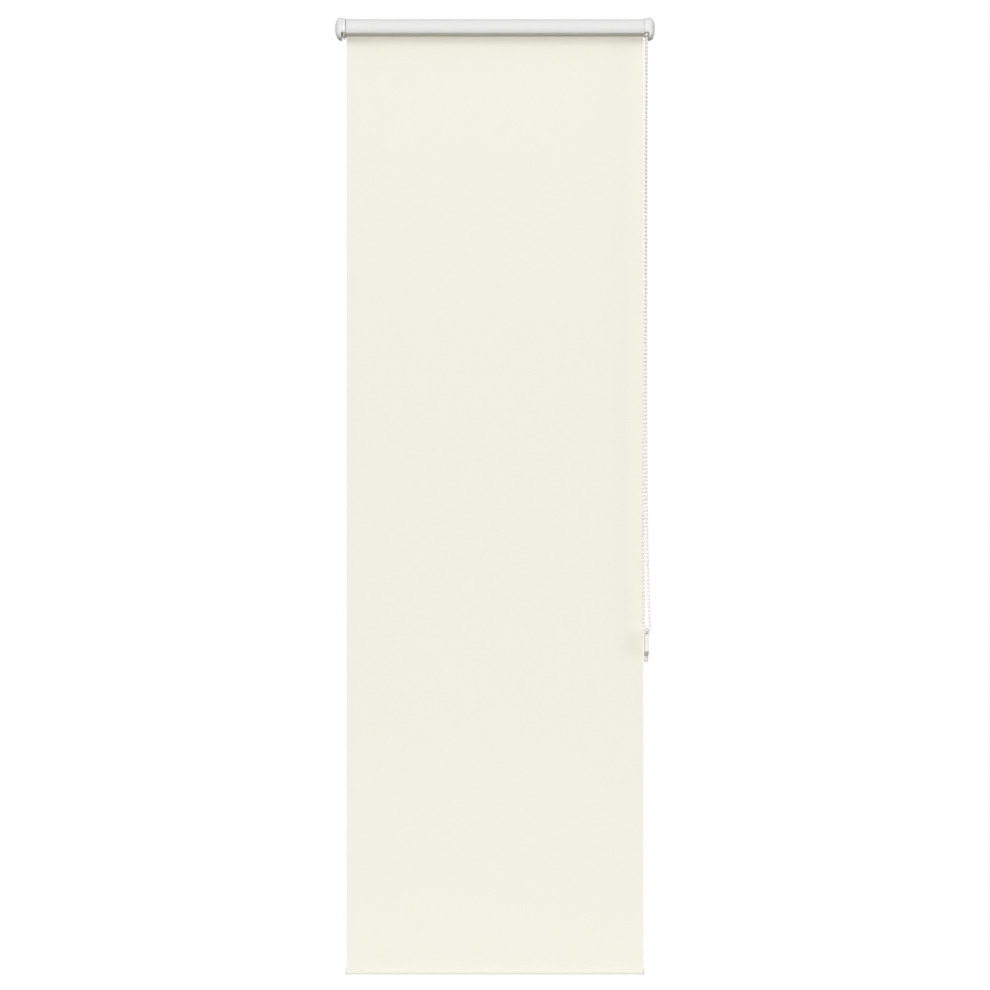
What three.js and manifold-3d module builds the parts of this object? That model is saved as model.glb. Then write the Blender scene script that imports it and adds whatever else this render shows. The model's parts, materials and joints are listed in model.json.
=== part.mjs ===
// Chain-operated roller blind in a slim cassette head, 500 mm wide with a 1500 mm drop.
// Millimetres. X runs along the roller, Y into the wall, Z up.
// The origin lies on the wall plane, midway along the roller, at the height of its axis.
import * as THREE from 'three';
import { mergeVertices } from 'three/addons/utils/BufferGeometryUtils.js';
import Module from 'manifold-3d';

const wasm = await Module();
wasm.setup();

// Overall sizes
const headWidth = 500; // over the two outer caps
const dropLength = 1500; // top of the caps to the foot of the bottom bar
const axisToWall = 22;
const capRise = 18.5; // top of the caps above the roller axis
const capDrop = 15.9; // foot of the caps below it
const capWidth = 9.7;
const hoodWidth = 6.3; // the narrower part of a side unit, around the wheel

// Clearances
const snapGap = 0.1; // cap on side plate
const fitGap = 0.3; // fixed pieces side by side
const runGap = 0.3; // pieces that turn or slide in one another
const fabricSideGap = 1.4; // fabric edge to hood
const overlap = 0.5; // how far solids run into each other where they are joined
const past = 1; // how far a cut runs past the surface it opens

// Roller
const tubeRadius = 8.5;
const tubeWall = 1;
const grooveWidth = 3;
const grooveDepth = 1.4;
const keyWall = 0.8; // tube metal under the groove
const splineThickness = 1;
const splineInset = 2; // spline end to tube end
const fabricThickness = 0.28;
const wrapGap = 0.04; // tube to fabric
const panelGap = 0.03; // hanging fabric behind the roll
const turnsAtRest = 1; // left on the tube when the blind is fully down

// Cassette cover
const coverRadius = 15.8;
const coverWall = 1;
const coverBack = 4; // its rear hook stands this far off the wall
const coverHook = 3.2;
const coverLipAngle = 30; // degrees that the front sweeps below the axis
const hoodLipAngle = 21;

// Side plate and outer cap
const capWall = 1;
const plateThickness = 1.6;
const capFrontRadius = 10;
const capBackRadius = 2;
const capDomeDepth = 8.6;
const capDomeShare = 0.78; // how far the outline shrinks towards the middle of the end face
const capBackGap = 0.4; // cap to the bracket's back plate
const studRadius = 2.5;
const studDepthFromWall = 9;
const studHeight = 6.5;
const studTip = 0.9; // stud beyond the bracket arm
const armGap = 1.3; // side plate to bracket arm
const tongueReach = 7; // beyond the hood, into the cover
const tongueWidth = 2;
const tongueHeight = 3;
const tongueWeb = 0.5;

// Wall bracket
const bracketSteel = 1.2;
const bracketReach = 24; // along the wall, from the outer end
const bracketRise = 16;
const bracketFall = 13;
const bracketEndGap = 0.6; // back plate inside the cap's wall
const armReach = 35;
const armHalfHeight = 11;
const armNoseRadius = 5;
const armHubHole = 7;
const wallHoleRadius = 2.2;
const wallHoleSpacing = 16;
const wallHoleInset = 7; // from the back plate's inner edge
const studHoleGap = 0.3;

// Pan-head screws: one locks each side plate to its bracket, one holds the clutch core
const lockScrewRadius = 1.4;
const lockScrewHead = 2.8;
const lockHoleRadius = 1.7;
const coreScrewRadius = 1.25;
const coreScrewHead = 3;
const coreScrewReach = 12; // into the core
const coreHoleRadius = 1.35;
const coreHoleDepth = 14;
const screwRim = 1; // straight part of a head
const screwShoulder = 1.7;
const screwCrown = 1.9;
const crossReach = 1.5;
const crossHalfWidth = 0.3;
const crossDepth = 0.8;
const washerBore = 1.5;
const washerRadius = 4.8;
const washerThickness = 0.8;

// Bead chain and its wheel
const beadDiameter = 4.5;
const beadPitch = 6;
const wheelPockets = 12;
const wheelRim = 1; // flange height beyond the pitch circle
const wheelHoodGap = 0.2;
const beadGap = 0.25; // bead to the groove's floor
const fingerShort = 6; // the wheel's finger stops this far from the drive plug's end
const fingerStart = 40; // degrees round the axis
const fingerStop = 140;

// Wrap-spring clutch
const coreLength = 37;
const springWire = 0.7;
const springGap = 0.12; // spring to core
const springSlack = 0.08; // spring to finger, on top of the running gap
const fingerWall = 0.8;
const springTurns = 5;
const springLength = 6;
const springPitch = 8; // start of one brake spring to start of the next
const plugWall = 1.3;
const plugLength = 26;
const plugFloor = 2;
const ribStart = 240; // degrees round the axis
const ribStop = 300;
const flangeThickness = 1;
const flangeStep = 0.1; // flange inside the tube's outer surface
const coreChamfer = 0.5;
const tangGap = 0.15;
const clipThickness = 0.8;
const clipGrooveDepth = 0.8;
const clipGrooveGap = 0.2;
const clipStart = -50; // degrees round the axis
const clipStop = 230;

// Idle end
const idleFlangeRadius = 13.6;
const idleFlangeThickness = 2.6;
const idleFlangeGap = 1.3; // flange to hood face
const pinRadius = 2;
const pinBoreGap = 0.25;
const pinChamfer = 0.8;
const pinCollarRadius = 3.9;
const pinCollarWidth = 2;
const pinTravel = 4.5;
const pinTipReach = 0.4; // beyond the side plate
const idleSpringRadius = 3.1;
const idleSpringWire = 0.8;
const idleSpringTurns = 6;
const springChamberRadius = 4.3;
const springChamberLength = 21;
const chamberWall = 2;
const bushRadius = 4;
const bushRim = 1.4;
const bushFlangeThickness = 0.8;
const bushGap = 0.15;

// Bottom bar
const railHeight = 6.8;
const railThickness = 4.4;
const railWall = 0.9;
const hemThickness = 0.3;
const railCapThickness = 1.5;
const railInset = 1.2; // rail end inside the fabric edge
const hemGap = 0.1; // hem round the rail
const railCapRim = 1; // how far the end caps stand proud of the hem, above and below
const railCapSide = 0.7; // and in front and behind, from the rail
const railCapEdge = 0.6;
const railPlugReach = 10;

// Chain tensioner
const tensionerWidth = 6.6;
const tensionerBase = 4.2;
const tensionerHeight = 53;
const tensionerReach = 31;
const tensionerLip = 3;
const tensionerFace = 35; // height of the front face
const tensionerHeel = 9.5; // top of the bare base above its foot
const tensionerChamfer = 1;
const tensionerHoleRadius = 1.6;
const tensionerHoleRise = 5.5;
const tensionerSinkDepth = 2;
const tensionerSinkEdge = 0.4;
const channelGap = 0.5;
const mouthGap = 0.2;

const roundSteps = 40; // facets around a turned piece

// Places worked out from those sizes
const axisY = -axisToWall;
const endX = headWidth / 2;
const plateX = endX - capWidth; // inner face of the outer cap and of the side plate
const hoodX = plateX - hoodWidth; // inner face of the hood
const fabricX = hoodX - fabricSideGap;
const tubeX = fabricX - fitGap;
const wrapRadius = tubeRadius + fabricThickness * turnsAtRest + wrapGap;
const panelY = axisY + wrapRadius + panelGap; // front face of the hanging fabric
const footZ = capRise - dropLength;
const hemHeight = railHeight + 2 * hemThickness + hemGap;
const hemTopZ = footZ + railCapRim + hemHeight;
const wheelX = (hoodX + plateX) / 2;
const wheelPitchRadius = wheelPockets * beadPitch / (2 * Math.PI);

// The clutch's layers, from the tube's bore inwards
const sleeveOuter = tubeRadius - tubeWall - runGap;
const plugBore = sleeveOuter - plugWall;
const fingerOuter = plugBore - runGap;
const fingerInner = fingerOuter - fingerWall;
const coreRadius = fingerInner - runGap - springWire - springGap - springSlack;
const coreTang = 1.39 * coreRadius; // square that keys the core to its side plate
const wheelBore = coreRadius + runGap;

const colours = {
  whitePlastic: { color: 0xe4e4e2, roughness: 0.42, metalness: 0 },
  whitePaint: { color: 0xececea, roughness: 0.35, metalness: 0 },
  creamFabric: { color: 0xf0eee1, roughness: 0.9, metalness: 0 },
  aluminium: { color: 0xb9bcc0, roughness: 0.38, metalness: 0.9 },
  steel: { color: 0x9a9da1, roughness: 0.35, metalness: 1 },
  bead: { color: 0xece9e4, roughness: 0.3, metalness: 0 },
  greyPlastic: { color: 0x8d8f92, roughness: 0.5, metalness: 0 },
  nylon: { color: 0xd0cdc4, roughness: 0.5, metalness: 0 },
};

const blind = new THREE.Group();

const place = (name, geometry, finish) => {
  const mesh = new THREE.Mesh(geometry, new THREE.MeshStandardMaterial(colours[finish]));
  mesh.name = name;
  blind.add(mesh);
};

// Welds a geometry to bare positions, drops its empty triangles and turns it to face out.
const weld = (geometry) => {
  const bare = geometry.index ? geometry.toNonIndexed() : geometry.clone();
  for (const name of Object.keys(bare.attributes)) {
    if (name !== 'position') bare.deleteAttribute(name);
  }
  const welded = mergeVertices(bare, 1e-4);
  const corners = welded.index.array;
  const point = [new THREE.Vector3(), new THREE.Vector3(), new THREE.Vector3()];
  const kept = [];
  let volume = 0;
  for (let i = 0; i < corners.length; i += 3) {
    const [a, b, c] = [corners[i], corners[i + 1], corners[i + 2]];
    if (a === b || b === c || c === a) continue;
    kept.push(a, b, c);
    [a, b, c].forEach((corner, k) => point[k].fromBufferAttribute(welded.attributes.position, corner));
    volume += point[0].dot(point[1].clone().cross(point[2]));
  }
  if (volume < 0) kept.reverse();
  welded.setIndex(kept);
  return welded;
};

const toSolid = (geometry) => {
  const welded = weld(geometry);
  return new wasm.Manifold(new wasm.Mesh({
    numProp: 3,
    vertProperties: new Float32Array(welded.attributes.position.array),
    triVerts: new Uint32Array(welded.index.array),
  }));
};

const toGeometry = (solid) => {
  const mesh = solid.getMesh();
  const geometry = new THREE.BufferGeometry();
  geometry.setAttribute('position', new THREE.BufferAttribute(mesh.vertProperties, 3));
  geometry.setIndex(new THREE.BufferAttribute(mesh.triVerts, 1));
  return geometry;
};

const cut = (body, ...tools) => {
  return toGeometry(tools.reduce((solid, tool) => solid.subtract(toSolid(tool)), toSolid(body)));
};

const join = (...bodies) => toGeometry(bodies.map(toSolid).reduce((solid, body) => solid.add(body)));

// Swaps the axes of a shape drawn in (Y, Z) and extruded, or turned about its own Y, to run along X.
const alongX = new THREE.Matrix4().makeBasis(
  new THREE.Vector3(0, 1, 0), new THREE.Vector3(0, 0, 1), new THREE.Vector3(1, 0, 0));
const turnedToX = new THREE.Matrix4().makeBasis(
  new THREE.Vector3(0, 1, 0), new THREE.Vector3(1, 0, 0), new THREE.Vector3(0, 0, -1));

const shapeOf = (points) => new THREE.Shape(points.map(([y, z]) => new THREE.Vector2(y, z)));

// A flat outline in (Y, Z), made into a bar from x = low to x = high.
const bar = (points, low, high, holes = []) => {
  const shape = shapeOf(points);
  shape.holes = holes.map(shapeOf);
  const geometry = new THREE.ExtrudeGeometry(shape, { depth: high - low, bevelEnabled: false });
  return weld(geometry.applyMatrix4(alongX).translate(low, 0, 0));
};

// A profile of [radius, x] corners, turned about the line y, z parallel to X.
const turned = (profile, y = axisY, z = 0, steps = roundSteps) => {
  const closed = [...profile, profile[0]].map(([radius, x]) => new THREE.Vector2(radius, x));
  const geometry = new THREE.LatheGeometry(closed, steps);
  return weld(geometry.applyMatrix4(turnedToX).translate(0, y, z));
};

const rod = (radius, low, high, y = axisY, z = 0, steps = roundSteps) => (
  turned([[0, low], [radius, low], [radius, high], [0, high]], y, z, steps));

const ring = (inner, outer, low, high, y = axisY, z = 0, steps = roundSteps) => (
  turned([[inner, low], [outer, low], [outer, high], [inner, high]], y, z, steps));

const box = (x0, x1, y0, y1, z0, z1) => (
  new THREE.BoxGeometry(x1 - x0, y1 - y0, z1 - z0)
    .translate((x0 + x1) / 2, (y0 + y1) / 2, (z0 + z1) / 2));

// Points of an arc in (Y, Z); 0 degrees points to the wall and 90 degrees points up.
const arc = (y, z, radius, from, to, steps) => (
  Array.from({ length: steps + 1 }, (_, i) => {
    const angle = THREE.MathUtils.degToRad(from + (to - from) * i / steps);
    return [y + radius * Math.cos(angle), z + radius * Math.sin(angle)];
  }));

// A sleeve's segment, between two radii and two angles about the roller axis.
const sector = (inner, outer, from, to, low, high, steps = 10) => (
  bar([...arc(axisY, 0, outer, from, to, steps), ...arc(axisY, 0, inner, to, from, steps)], low, high));

// Mirrors a right-hand piece to the left end of the blind.
const mirrored = (geometry) => weld(geometry.clone().scale(-1, 1, 1));

const forSide = (side, geometry) => (side === 'left' ? mirrored(geometry) : geometry);

// Side view of the outer cap, drawn inside its outer surface by the inset.
const capOutline = (inset) => {
  const back = -bracketSteel - capBackGap - inset;
  const backRadius = Math.max(capBackRadius - inset, 0.4);
  const frontY = axisY - capRise;
  return [
    ...arc(back - backRadius, capRise - inset - backRadius, backRadius, 0, 90, 2),
    ...arc(axisY, 0, capRise - inset, 90, 180, 12),
    ...arc(frontY + capFrontRadius, capFrontRadius - capDrop, capFrontRadius - inset, 180, 270, 6),
    ...arc(back - backRadius, inset + backRadius - capDrop, backRadius, 270, 360, 2),
  ];
};

// Shrinks an outline towards the middle of its own box.
const shrunk = (points, share) => {
  const middle = [0, 1].map((axis) => {
    const values = points.map((point) => point[axis]);
    return (Math.min(...values) + Math.max(...values)) / 2;
  });
  return points.map((point) => point.map((value, axis) => value + (middle[axis] - value) * share));
};

// A solid between rings of the same number of [y, z] points, one ring at each x.
const lofted = (sections) => {
  const count = sections[0].points.length;
  const positions = sections.flatMap(({ x, points }) => points.flatMap(([y, z]) => [x, y, z]));
  const triangles = [];
  for (let ringAt = 0; ringAt < sections.length - 1; ringAt += 1) {
    for (let i = 0; i < count; i += 1) {
      const next = (i + 1) % count;
      const [a, b] = [ringAt * count + i, ringAt * count + next];
      triangles.push(a, b, b + count, a, b + count, a + count);
    }
  }
  const end = (sections.length - 1) * count;
  for (const [a, b, c] of THREE.ShapeUtils.triangulateShape(shapeOf(sections[0].points).getPoints(), [])) {
    triangles.push(c, b, a, end + a, end + b, end + c);
  }
  const geometry = new THREE.BufferGeometry();
  geometry.setAttribute('position', new THREE.Float32BufferAttribute(positions, 3));
  geometry.setIndex(triangles);
  return geometry;
};

// A block from x = low to x = high whose outline draws in over the last stretch, as a quarter ellipse.
const domed = (outlineAt, low, high, depth, inset, steps = 8) => (
  lofted([
    { x: low, points: outlineAt(0) },
    ...Array.from({ length: steps + 1 }, (_, i) => {
      const angle = Math.PI / 2 * i / steps;
      return {
        x: high - depth + depth * Math.sin(angle),
        points: outlineAt(inset * (1 - Math.cos(angle))),
      };
    }),
  ]));

// Outer cap: a thin domed shell, open on the inside and slotted at the back for the bracket arm.
const outerCap = () => {
  const outside = (share) => shrunk(capOutline(0), share);
  const inside = (share) => shrunk(capOutline(capWall), share);
  const shell = cut(
    domed(outside, plateX, endX, capDomeDepth, capDomeShare),
    domed(inside, plateX - fitGap, endX - capWall, capDomeDepth, capDomeShare),
  );
  const slotDepth = bracketSteel + capBackGap + capWall + capBackRadius;
  const slotHalf = armHalfHeight + fitGap;
  const slotEnd = armX + bracketSteel + fitGap;
  return cut(shell, box(plateX - past, slotEnd, -slotDepth, past, -slotHalf, slotHalf));
};

// Side plate: fills the open face of its cap, with the hood over the wheel on its inner side.
const armX = plateX + plateThickness + armGap; // inner face of the bracket arm
const sidePlate = () => {
  const hoodOuter = capRise - capWall - snapGap;
  const hoodInner = coverRadius + snapGap;
  const hoodBack = -coverBack;
  const plate = bar(capOutline(capWall + fitGap), plateX, plateX + plateThickness);
  const hood = bar([
    [hoodBack, hoodOuter],
    ...arc(axisY, 0, hoodOuter, 90, 180 + hoodLipAngle, 16),
    ...arc(axisY, 0, hoodInner, 180 + hoodLipAngle, 90, 16),
    [hoodBack, hoodInner],
  ], hoodX, plateX + overlap);
  // a tongue that carries the cover by its rear hook
  const tongueTop = coverRadius - coverWall - fitGap;
  const tongueBack = -coverBack - coverWall - fitGap;
  const tongue = join(
    box(hoodX - tongueReach, plateX + overlap, tongueBack - tongueWidth, tongueBack,
      tongueTop - tongueHeight, tongueTop),
    box(hoodX + fitGap, plateX + overlap, tongueBack - tongueWidth, tongueBack,
      tongueTop - tongueWeb, hoodInner + overlap),
  );
  const stud = rod(studRadius, plateX, armX + bracketSteel + studTip, -studDepthFromWall, studHeight, 20);
  const boss = rod(studRadius, plateX, armX - snapGap, -studDepthFromWall, -studHeight, 20);
  const screwHole = rod(lockHoleRadius, plateX - past, armX + past, -studDepthFromWall, -studHeight, 12);
  return cut(join(plate, hood, tongue, stud, boss), screwHole);
};

const drivePlate = () => {
  const half = coreTang / 2 + tangGap;
  return cut(sidePlate(), box(plateX - past, armX, axisY - half, axisY + half, -half, half));
};

const idlePlate = () => (
  cut(sidePlate(), rod(bushRadius + bushGap, plateX - past, plateX + plateThickness + past)));

// Wall bracket: a folded steel back plate, with an arm that carries the side plate.
const bracket = () => {
  const outer = endX - capWall - bracketEndGap;
  const inner = outer - bracketReach;
  const back = box(inner, outer, -bracketSteel, 0, -bracketFall, bracketRise);
  const noseY = armNoseRadius - armReach;
  const noseZ = armHalfHeight - armNoseRadius;
  const arm = bar([
    [-bracketSteel / 2, armHalfHeight],
    ...arc(noseY, noseZ, armNoseRadius, 90, 180, 4),
    ...arc(noseY, -noseZ, armNoseRadius, 180, 270, 4),
    [-bracketSteel / 2, -armHalfHeight],
  ], armX, armX + bracketSteel);
  const wallHoles = [-0.5, 0.5].map((side) => (
    new THREE.CylinderGeometry(wallHoleRadius, wallHoleRadius, 4 * past, 16)
      .translate(inner + wallHoleInset, 0, side * wallHoleSpacing)));
  const through = [armX - past, armX + bracketSteel + past, -studDepthFromWall];
  return cut(
    join(back, arm),
    rod(armHubHole, armX - past, armX + bracketSteel + past),
    rod(studRadius + studHoleGap, ...through, studHeight, 20),
    rod(lockHoleRadius, ...through, -studHeight, 12),
    ...wallHoles,
  );
};

// Pan-head screw with a cross recess: its shank starts at the tip and its head bears on the seat.
const panScrew = (tip, seat, shank, head, y, z) => {
  const screw = turned([
    [0, tip], [shank, tip], [shank, seat], [head, seat],
    [head, seat + screwRim], [0.75 * head, seat + screwShoulder], [0, seat + screwCrown],
  ], y, z, 16);
  const floor = seat + screwCrown - crossDepth;
  const top = floor + past;
  return cut(
    screw,
    box(floor, top, y - crossReach, y + crossReach, z - crossHalfWidth, z + crossHalfWidth),
    box(floor, top, y - crossHalfWidth, y + crossHalfWidth, z - crossReach, z + crossReach),
  );
};

const lockScrew = () => panScrew(plateX + fitGap, armX + bracketSteel + snapGap,
  lockScrewRadius, lockScrewHead, -studDepthFromWall, -studHeight);

for (const side of ['left', 'right']) {
  place(`${side}_bracket`, forSide(side, bracket()), 'steel');
  place(`${side}_side_plate`, forSide(side, side === 'right' ? drivePlate() : idlePlate()), 'whitePlastic');
  place(`${side}_outer_cap`, forSide(side, outerCap()), 'whitePlastic');
  place(`${side}_lock_screw`, forSide(side, lockScrew()), 'steel');
}

// Cassette cover: a rear hook, a flat top and a front that follows the roll round below its axis.
const coverEnd = hoodX - fitGap;
const coverLine = (radius, hook) => [
  [-coverBack - hook, coverRadius - coverHook],
  [-coverBack - hook, radius],
  ...arc(axisY, 0, radius, 90, 180 + coverLipAngle, 20),
];
place('head_cover', bar([
  ...coverLine(coverRadius, 0),
  ...coverLine(coverRadius - coverWall, coverWall).reverse(),
], -coverEnd, coverEnd), 'whitePaint');

// Roller tube: a keyed groove runs along it and takes the fabric's spline.
const grooveFloor = tubeRadius - grooveDepth;
const keyHalf = grooveWidth / 2 + tubeWall;
const keyFloor = grooveFloor - keyWall;
place('roller_tube', cut(
  join(
    ring(tubeRadius - tubeWall, tubeRadius, -tubeX, tubeX),
    box(-tubeX, tubeX, axisY - keyHalf, axisY + keyHalf, keyFloor, tubeRadius - tubeWall / 2),
  ),
  box(-endX, endX, axisY - grooveWidth / 2, axisY + grooveWidth / 2, grooveFloor, tubeRadius + past),
), 'aluminium');
const splineHalf = grooveWidth / 2 - fitGap;
const splineFloor = grooveFloor + snapGap;
const splineX = tubeX - splineInset;
place('fabric_spline', box(-splineX, splineX, axisY - splineHalf, axisY + splineHalf,
  splineFloor, splineFloor + splineThickness), 'greyPlastic');
place('fabric_wrap', ring(tubeRadius + wrapGap, wrapRadius, -fabricX, fabricX), 'creamFabric');

// Hanging fabric, from the back of the roll to the hem.
place('fabric_panel', box(-fabricX, fabricX, panelY, panelY + fabricThickness,
  hemTopZ + panelGap, 0), 'creamFabric');

// Space that a plug leaves for the tube's key.
const keySlot = (low, high) => (
  box(low, high, axisY - keyHalf - runGap, axisY + keyHalf + runGap, keyFloor - runGap, tubeRadius));

// Chain wheel: a beaded groove between two rims, with a finger that reaches into the drive plug.
const wheelLow = hoodX + wheelHoodGap;
const wheelHigh = plateX - runGap;
const wheelOuter = wheelPitchRadius + wheelRim;
const beadSeat = beadDiameter / 2 + beadGap;
const plugInner = tubeX - plugLength; // the plug's blind end in the tube
const fingerEnd = plugInner + fingerShort;
const chainWheel = () => {
  const rimAngle = THREE.MathUtils.radToDeg(Math.asin(wheelRim / beadSeat));
  const groove = arc(wheelPitchRadius, wheelX, beadSeat, 90 - rimAngle, 270 + rimAngle, 10);
  const wheel = turned([
    [wheelBore, wheelHigh], [wheelOuter, wheelHigh], ...groove, [wheelOuter, wheelLow],
    [wheelBore, wheelLow],
  ]);
  const finger = sector(fingerInner, fingerOuter, fingerStart, fingerStop, fingerEnd, wheelLow + overlap);
  return join(wheel, finger);
};
place('chain_wheel', chainWheel(), 'nylon');

// Drive plug: a sleeve keyed to the tube, with a rib that the wheel's finger pushes round.
const drivePlug = () => {
  const [seat, floor] = [tubeX + fitGap, plugInner + plugFloor];
  const flange = tubeRadius - flangeStep;
  const body = turned([
    [wheelBore + runGap, plugInner], [sleeveOuter, plugInner], [sleeveOuter, seat],
    [flange, seat], [flange, seat + flangeThickness],
    [plugBore, seat + flangeThickness], [plugBore, floor], [wheelBore + runGap, floor],
  ]);
  const rib = sector(fingerInner, plugBore + overlap, ribStart, ribStop, floor, tubeX - plugFloor, 6);
  return cut(join(body, rib), keySlot(plugInner - past, tubeX + fitGap / 2));
};
place('drive_plug', drivePlug(), 'nylon');

// Fixed core: it carries the wheel and the plug, and a square tang keys it to the side plate.
const coreInner = plateX - coreLength;
const coreShoulder = plateX - runGap;
const clipX = plugInner - 2 * clipThickness;
const clutchCore = () => {
  const half = coreTang / 2;
  const waist = coreRadius - clipGrooveDepth;
  const [grooveLow, grooveHigh] = [clipX - clipGrooveGap, clipX + clipThickness + clipGrooveGap];
  const shaft = turned([
    [0, coreInner], [coreRadius - coreChamfer, coreInner], [coreRadius, coreInner + coreChamfer],
    [coreRadius, grooveLow], [waist, grooveLow], [waist, grooveHigh], [coreRadius, grooveHigh],
    [coreRadius, coreShoulder], [0, coreShoulder],
  ]);
  const tang = box(coreShoulder - past, plateX + plateThickness, axisY - half, axisY + half, -half, half);
  return cut(join(shaft, tang), rod(coreHoleRadius, plateX - coreHoleDepth, endX, axisY, 0, 16));
};
place('clutch_core', clutchCore(), 'nylon');
place('retaining_clip', sector(coreRadius - clipGrooveDepth + clipGrooveGap, plugBore - fitGap,
  clipStart, clipStop, clipX, clipX + clipThickness, 20), 'steel');

// Screw and washer that hold the core against the side plate.
const washerX = plateX + plateThickness + snapGap;
const washerHigh = washerX + washerThickness;
place('core_washer', ring(washerBore, washerRadius, washerX, washerHigh, axisY, 0, 24), 'steel');
place('core_screw', panScrew(plateX - coreScrewReach, washerHigh + snapGap,
  coreScrewRadius, coreScrewHead, axisY, 0), 'steel');

// A curve through given stations, one at each step of an extrusion.
class StationCurve extends THREE.Curve {
  constructor(stations) {
    super();
    this.stations = stations;
  }

  getPoint(t, target = new THREE.Vector3()) {
    const last = this.stations.length - 1;
    const at = Math.min(Math.max(t, 0), 1) * last;
    const low = Math.min(Math.floor(at + 1e-9), last - 1);
    return target.lerpVectors(this.stations[low], this.stations[low + 1], at - low);
  }

  getPointAt(t, target) {
    return this.getPoint(t, target);
  }

  getTangentAt(t, target = new THREE.Vector3()) {
    const last = this.stations.length - 1;
    const at = Math.round(t * last);
    const before = this.stations[Math.max(at - 1, 0)];
    const after = this.stations[Math.min(at + 1, last)];
    return target.subVectors(after, before).normalize();
  }
}

// A round section carried along the stations.
const swept = (stations, radius, sides) => {
  const steps = Array.from({ length: sides }, (_, i) => (
    new THREE.Vector2(radius, 0).rotateAround(new THREE.Vector2(), 2 * Math.PI * i / sides)));
  return weld(new THREE.ExtrudeGeometry(new THREE.Shape(steps), {
    steps: stations.length - 1,
    bevelEnabled: false,
    extrudePath: new StationCurve(stations),
  }));
};

// A coil about a line parallel to X.
const coil = (radius, wire, low, high, turns, y = axisY) => {
  const count = turns * 12;
  const stations = Array.from({ length: count + 1 }, (_, i) => {
    const angle = 2 * Math.PI * turns * i / count;
    const x = low + wire / 2 + (high - low - wire) * i / count;
    return new THREE.Vector3(x, y + radius * Math.cos(angle), radius * Math.sin(angle));
  });
  return swept(stations, wire / 2, 6);
};

// Two wrap springs grip the core and lock the roller when the load pulls on it.
const springRadius = coreRadius + springWire / 2 + springGap;
[0, 1].forEach((i) => {
  const low = fingerEnd + 1 + i * springPitch;
  const wound = coil(springRadius, springWire, low, low + springLength, springTurns);
  place(`brake_spring_${i + 1}`, wound, 'steel');
});

// Idle plug: a flange beside the fabric, a hub against the tube and a chamber for the pin's spring.
const idleFlangeX = hoodX + idleFlangeGap;
const chamberHigh = tubeX - chamberWall;
const chamberLow = chamberHigh - springChamberLength;
const pinBore = pinRadius + pinBoreGap;
const idlePlug = () => {
  const [hub, seat] = [tubeRadius - flangeStep, tubeX + fitGap];
  const flangeHigh = idleFlangeX + idleFlangeThickness;
  const body = turned([
    [0, plugInner], [sleeveOuter, plugInner], [sleeveOuter, seat], [hub, seat], [hub, idleFlangeX],
    [idleFlangeRadius, idleFlangeX], [idleFlangeRadius, flangeHigh], [pinBore, flangeHigh],
    [pinBore, chamberHigh], [springChamberRadius, chamberHigh], [springChamberRadius, chamberLow],
    [0, chamberLow],
  ]);
  return mirrored(cut(body, keySlot(plugInner - past, tubeX + fitGap / 2)));
};
place('idle_plug', idlePlug(), 'nylon');

// Idle pin: its spring pushes it out into the bush, and it slides back to free the roller.
const pinTip = plateX + plateThickness + pinTipReach;
const collarHigh = chamberHigh - snapGap;
const collarLow = collarHigh - pinCollarWidth;
const pinTail = chamberLow + pinTravel + pinChamfer;
place('idle_pin', mirrored(turned([
  [0, pinTail], [pinRadius, pinTail], [pinRadius, collarLow], [pinCollarRadius, collarLow],
  [pinCollarRadius, collarHigh], [pinRadius, collarHigh], [pinRadius, pinTip - pinChamfer],
  [pinRadius - pinChamfer, pinTip], [0, pinTip],
], axisY, 0, 24)), 'steel');
place('idle_spring', mirrored(coil(idleSpringRadius, idleSpringWire, chamberLow + snapGap,
  collarLow - snapGap, idleSpringTurns)), 'steel');

const bushHigh = plateX - bushGap;
const bushLow = bushHigh - bushFlangeThickness;
place('idle_bush', mirrored(turned([
  [pinBore, bushLow], [bushRadius + bushRim, bushLow], [bushRadius + bushRim, bushHigh],
  [bushRadius, bushHigh], [bushRadius, plateX + plateThickness], [pinBore, plateX + plateThickness],
], axisY, 0, 32)), 'nylon');

// Endless bead chain: over the wheel, down in front, round the tensioner and up behind.
// A strand's place is [x from the wheel, share of the wheel's radius behind its axis, z], and the chain
// twists a little on its way down.
const frontStrand = [
  [0, -1, 0], [-0.1, -1, -16], [-1.3, -0.98, -70], [-2.5, -0.94, -200], [-3.1, -0.87, -400],
  [-3.9, -0.77, -600], [-4.6, -0.67, -760], [-4.5, -0.6, -900], [-4.4, -0.58, -935.8],
];
const rearStrand = [
  [0, 1, 0], [0, 1, -16], [0.2, 0.97, -70], [0, 0.92, -200], [-0.3, 0.85, -400],
  [-0.4, 0.77, -600], [0.7, 0.69, -760], [3.5, 0.6, -880], [5.2, 0.58, -935.8],
];
const strandSteps = 18;
const loopSteps = 14;
const toVector = ([x, share, z]) => new THREE.Vector3(wheelX + x, axisY + share * wheelPitchRadius, z);
const chainStations = () => {
  const front = new THREE.CatmullRomCurve3(frontStrand.map(toVector)).getSpacedPoints(strandSteps);
  const rear = new THREE.CatmullRomCurve3(rearStrand.map(toVector)).getSpacedPoints(strandSteps).reverse();
  // the half loops at the top and the foot, each between the ends of the two strands
  const halfLoop = (from, to, rise) => (
    Array.from({ length: loopSteps - 1 }, (_, i) => {
      const angle = Math.PI * (i + 1) / loopSteps;
      const middle = from.clone().add(to).multiplyScalar(0.5);
      const across = from.clone().sub(middle).multiplyScalar(Math.cos(angle));
      return middle.add(across).add(new THREE.Vector3(0, 0, rise * Math.sin(angle)));
    }));
  const foot = halfLoop(front.at(-1), rear[0], -front.at(-1).distanceTo(rear[0]) / 2);
  const top = halfLoop(rear.at(-1), front[0], wheelPitchRadius);
  return { top, route: [...front, ...foot, ...rear] };
};
const { top: overWheel, route: hanging } = chainStations();
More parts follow.
